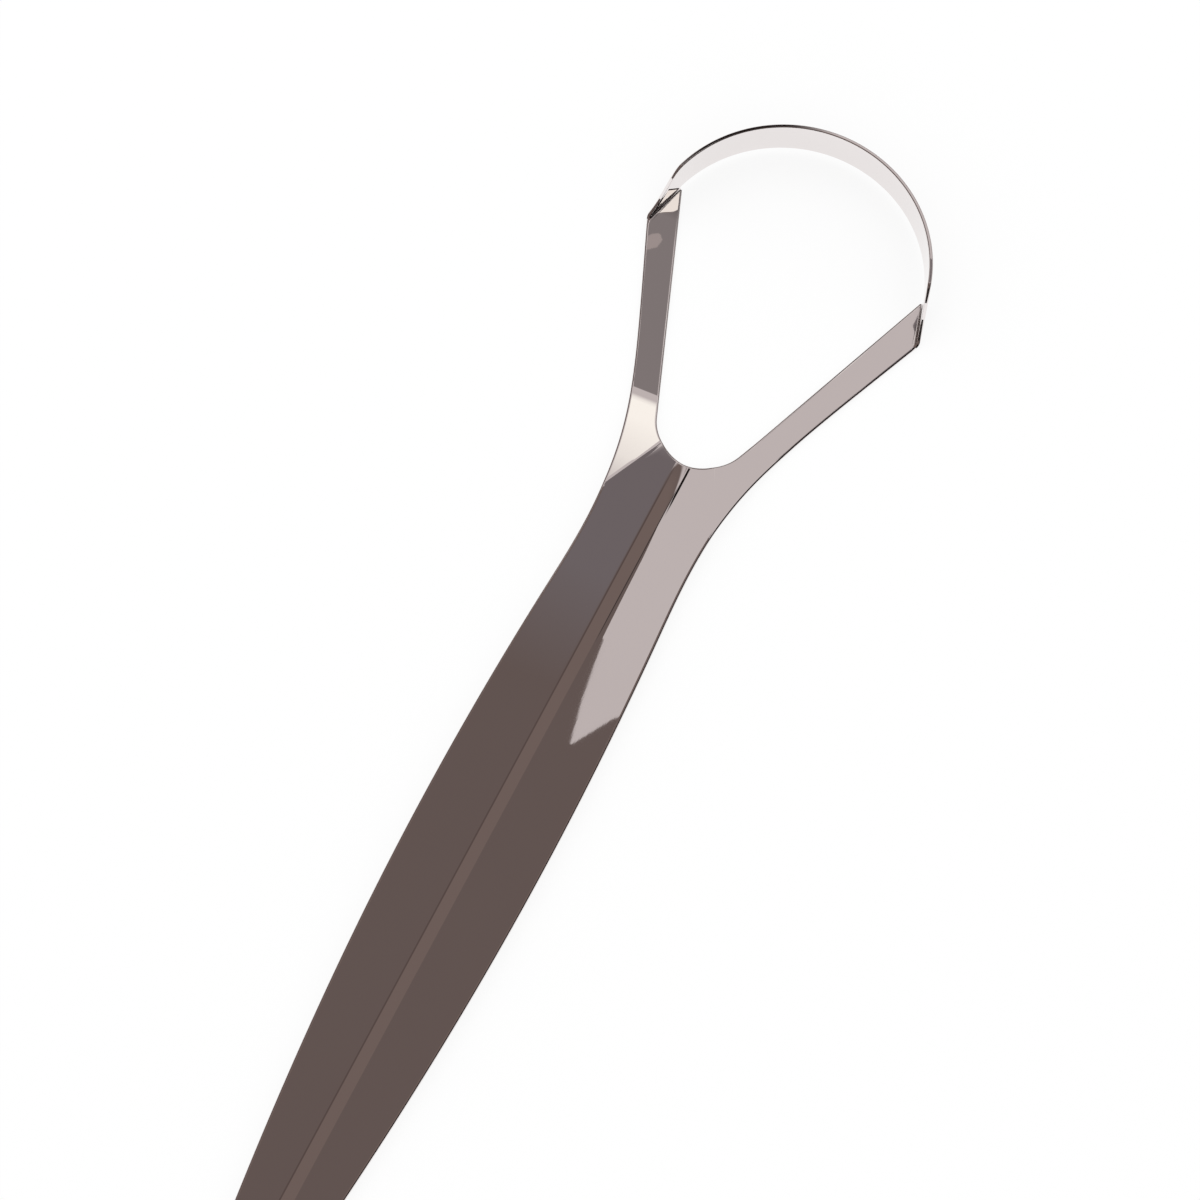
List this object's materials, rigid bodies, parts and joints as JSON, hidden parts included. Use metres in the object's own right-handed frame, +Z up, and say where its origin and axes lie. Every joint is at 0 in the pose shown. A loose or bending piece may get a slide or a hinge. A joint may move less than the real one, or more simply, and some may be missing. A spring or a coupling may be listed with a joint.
{
  "type": "tongue scraper",
  "caption": "Polished steel tongue scraper: a V-creased flat handle forks into arms that fold on edge into an open scraping arch.",
  "frame": {"origin": "on the surface the scraper lies on, under the middle of its length and width", "axes": "+Y from the tail of the handle to the scraping arch, +Z up out of the open side of the V, +X across"},
  "size_m": [0.0424, 0.1724, 0.0079],
  "materials": {
    "polished_steel": "mirror-polished stainless steel sheet"
  },
  "bodies": {
    "root": {"handle": "polished_steel", "left_arm": "polished_steel", "right_arm": "polished_steel", "left_shoulder": "polished_steel", "right_shoulder": "polished_steel", "scraping_band": "polished_steel"}
  },
  "joints": []
}
